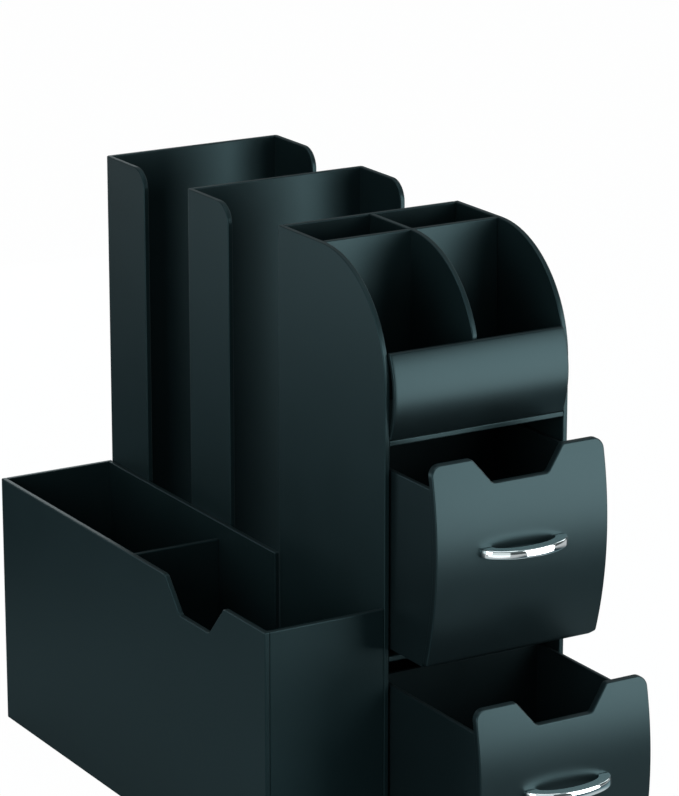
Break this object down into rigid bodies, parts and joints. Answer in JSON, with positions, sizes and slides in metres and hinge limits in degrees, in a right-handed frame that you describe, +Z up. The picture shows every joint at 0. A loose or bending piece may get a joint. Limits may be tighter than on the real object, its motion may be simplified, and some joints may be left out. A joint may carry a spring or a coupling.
{
  "type": "condiment caddy with drawer",
  "caption": "Countertop caddy: a tower with drawers, packet pockets and stirrer wells, columns for lids and cups behind it, and a side bin for napkins and cutlery.",
  "frame": {"origin": "middle of the footprint of the standing body, on the table", "axes": "the drawers open towards -Y, the bin is on the -X side, +Z is up"},
  "size_m": [0.186, 0.4124, 0.3325],
  "materials": {
    "satin_panel": "satin moulded black plastic with a cool grey cast",
    "satin_drawer": "satin moulded black plastic, slightly smoother than the panels",
    "chrome_handle": "polished chrome plating",
    "screw_steel": "zinc-plated steel"
  },
  "bodies": {
    "caddy": {"tower_left_panel": "satin_panel", "tower_right_panel": "satin_panel", "tower_back_panel": "satin_panel", "centre_divider": "satin_panel", "stirrer_divider": "satin_panel", "upper_shelf": "satin_panel", "drawer_shelf": "satin_panel", "tower_base": "satin_panel", "pocket_fascia": "satin_panel", "column_floor": "satin_panel", "lid_column_shell": "satin_panel", "cup_column_shell": "satin_panel", "bin_side_panel": "satin_panel", "bin_front_panel": "satin_panel", "bin_back_panel": "satin_panel", "bin_floor": "satin_panel", "bin_inner_panel": "satin_panel", "bin_divider": "satin_panel"},
    "upper_drawer": {"upper_drawer_tray": "satin_drawer", "upper_drawer_front": "satin_drawer", "upper_drawer_handle": "chrome_handle", "upper_drawer_handle_screws": "screw_steel"},
    "lower_drawer": {"lower_drawer_tray": "satin_drawer", "lower_drawer_front": "satin_drawer", "lower_drawer_handle": "chrome_handle", "lower_drawer_handle_screws": "screw_steel"}
  },
  "joints": [
    {"name": "upper_drawer_slide", "type": "slide", "parent": "caddy", "child": "upper_drawer", "axis": [0, -1, 0], "range_m": [-0.0385, 0.0495]},
    {"name": "lower_drawer_slide", "type": "slide", "parent": "caddy", "child": "lower_drawer", "axis": [0, -1, 0], "range_m": [-0.0823, 0.0057]}
  ]
}
